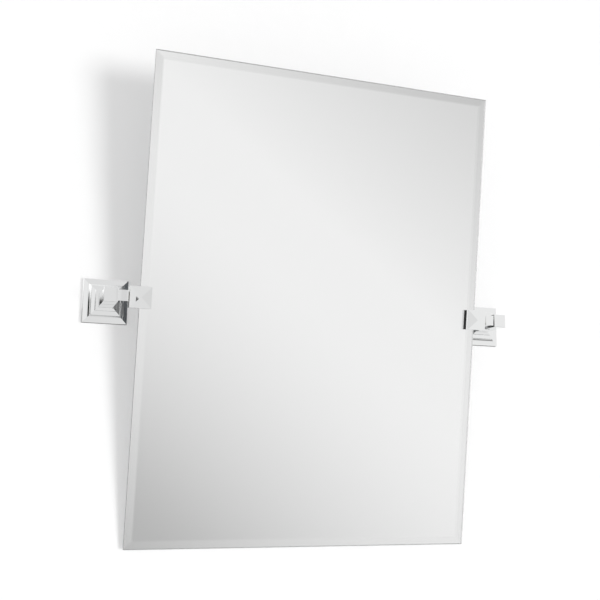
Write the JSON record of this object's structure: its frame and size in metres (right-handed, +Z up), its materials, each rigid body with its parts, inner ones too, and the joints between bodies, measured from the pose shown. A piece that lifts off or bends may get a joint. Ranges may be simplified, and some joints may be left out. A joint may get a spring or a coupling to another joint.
{
  "type": "pivot wall mirror",
  "caption": "Frameless bevelled rectangular mirror that tilts in square clamps on short square arms standing from stepped square wall plates.",
  "frame": {"origin": "on the wall plane, midway between the two brackets, at the height of the pivots and centre of the four wall screw holes", "axes": "+Y into the wall, +X to the right as a person faces the mirror, +Z up"},
  "size_m": [0.632, 0.1056, 0.6532],
  "materials": {
    "chrome": "polished chrome plate",
    "zinc_plated_steel": "zinc plated",
    "fastener_steel": "plain stainless",
    "nylon": "natural",
    "rubber": "matt black",
    "glass": "clear, polished bevel",
    "silvering": "reflecting",
    "film": "grey protective film"
  },
  "bodies": {
    "root": {"left_wall_bracket": "zinc_plated_steel", "left_backplate": "chrome", "left_set_screw": "fastener_steel", "left_arm": "chrome", "left_arm_screw": "fastener_steel", "left_arm_washer": "fastener_steel", "left_pivot_bar": "chrome", "left_pivot_bolt": "fastener_steel", "left_thrust_washer": "nylon", "right_wall_bracket": "zinc_plated_steel", "right_backplate": "chrome", "right_set_screw": "fastener_steel", "right_arm": "chrome", "right_arm_screw": "fastener_steel", "right_arm_washer": "fastener_steel", "right_pivot_bar": "chrome", "right_pivot_bolt": "fastener_steel", "right_thrust_washer": "nylon"},
    "mirror": {"left_clamp_front": "chrome", "left_clamp_back": "chrome", "left_bush": "nylon", "left_gasket": "rubber", "left_clamp_screws": "fastener_steel", "right_clamp_front": "chrome", "right_clamp_back": "chrome", "right_bush": "nylon", "right_gasket": "rubber", "right_clamp_screws": "fastener_steel", "glass": "glass", "silvering": "silvering", "backing_film": "film"}
  },
  "joints": [
    {"name": "mirror_tilt", "type": "hinge", "parent": "root", "child": "mirror", "pos_m": [0, -0.056, 0], "axis": [1, 0, 0], "range_deg": [-17.5, 0.5]}
  ]
}
